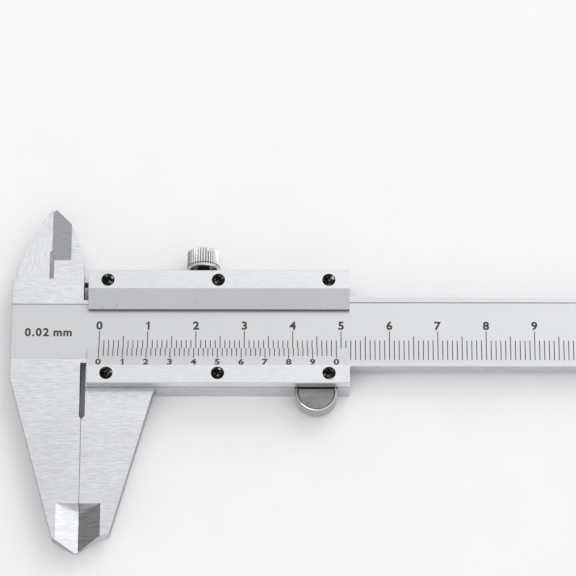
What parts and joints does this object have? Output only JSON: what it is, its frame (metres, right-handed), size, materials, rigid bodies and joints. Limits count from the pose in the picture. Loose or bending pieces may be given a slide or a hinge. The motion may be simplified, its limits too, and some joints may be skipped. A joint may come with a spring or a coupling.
{
  "type": "vernier caliper",
  "caption": "Steel vernier caliper with outside and inside jaws, sliding vernier head, knurled lock screw, thumb rest and depth rod.",
  "frame": {"origin": "where the outside jaws' contact plane meets the beam's lower edge, on the plane of the slider's back face", "axes": "+X along the beam towards its tail, the way the slider opens; +Y across the beam towards the inside jaws; +Z out of the scale side"},
  "size_m": [0.2352, 0.076, 0.0079],
  "materials": {
    "beam_steel": "ground stainless steel, satin scale band",
    "slider_steel": "ground stainless steel",
    "strip_steel": "ground flats, satin bevels",
    "rod_steel": "ground stainless steel",
    "gib_brass": "rolled strip",
    "plated_knob": "plated, knurled",
    "plain_screw": "turned steel",
    "black_screw": "black oxide"
  },
  "bodies": {
    "beam": {"main_beam": "beam_steel", "tail_guide_plate": "rod_steel", "tail_plate_screw_upper": "plain_screw", "tail_plate_screw_lower": "plain_screw"},
    "slider": {"slider_body": "slider_steel", "upper_strip": "strip_steel", "vernier_strip": "strip_steel", "upper_strip_screw_left": "black_screw", "upper_strip_screw_middle": "black_screw", "upper_strip_screw_right": "black_screw", "vernier_strip_screw_left": "black_screw", "vernier_strip_screw_middle": "black_screw", "vernier_strip_screw_right": "black_screw", "gib_screw_left": "plain_screw", "gib_screw_right": "plain_screw", "thumb_rest": "plated_knob", "depth_rod": "rod_steel", "depth_rod_screw_left": "plain_screw", "depth_rod_screw_right": "plain_screw"},
    "gib": {"gib": "gib_brass"},
    "lock_screw": {"lock_screw": "plated_knob"}
  },
  "joints": [
    {"name": "slider_travel", "type": "slide", "parent": "beam", "child": "slider", "axis": [1, 0, 0], "range_m": [0, 0.15]},
    {"name": "gib_press", "type": "slide", "parent": "slider", "child": "gib", "axis": [0, -1, 0], "range_m": [0, 0.0001125]},
    {"name": "lock_turn", "type": "hinge", "parent": "gib", "child": "lock_screw", "pos_m": [0.02473, 0.0205, 0.00383], "axis": [0, -1, 0], "range_deg": [0, 90]}
  ],
  "couplings": [
    {"joint": "lock_turn", "follows": "gib_press", "rad_per_m": 13963}
  ]
}
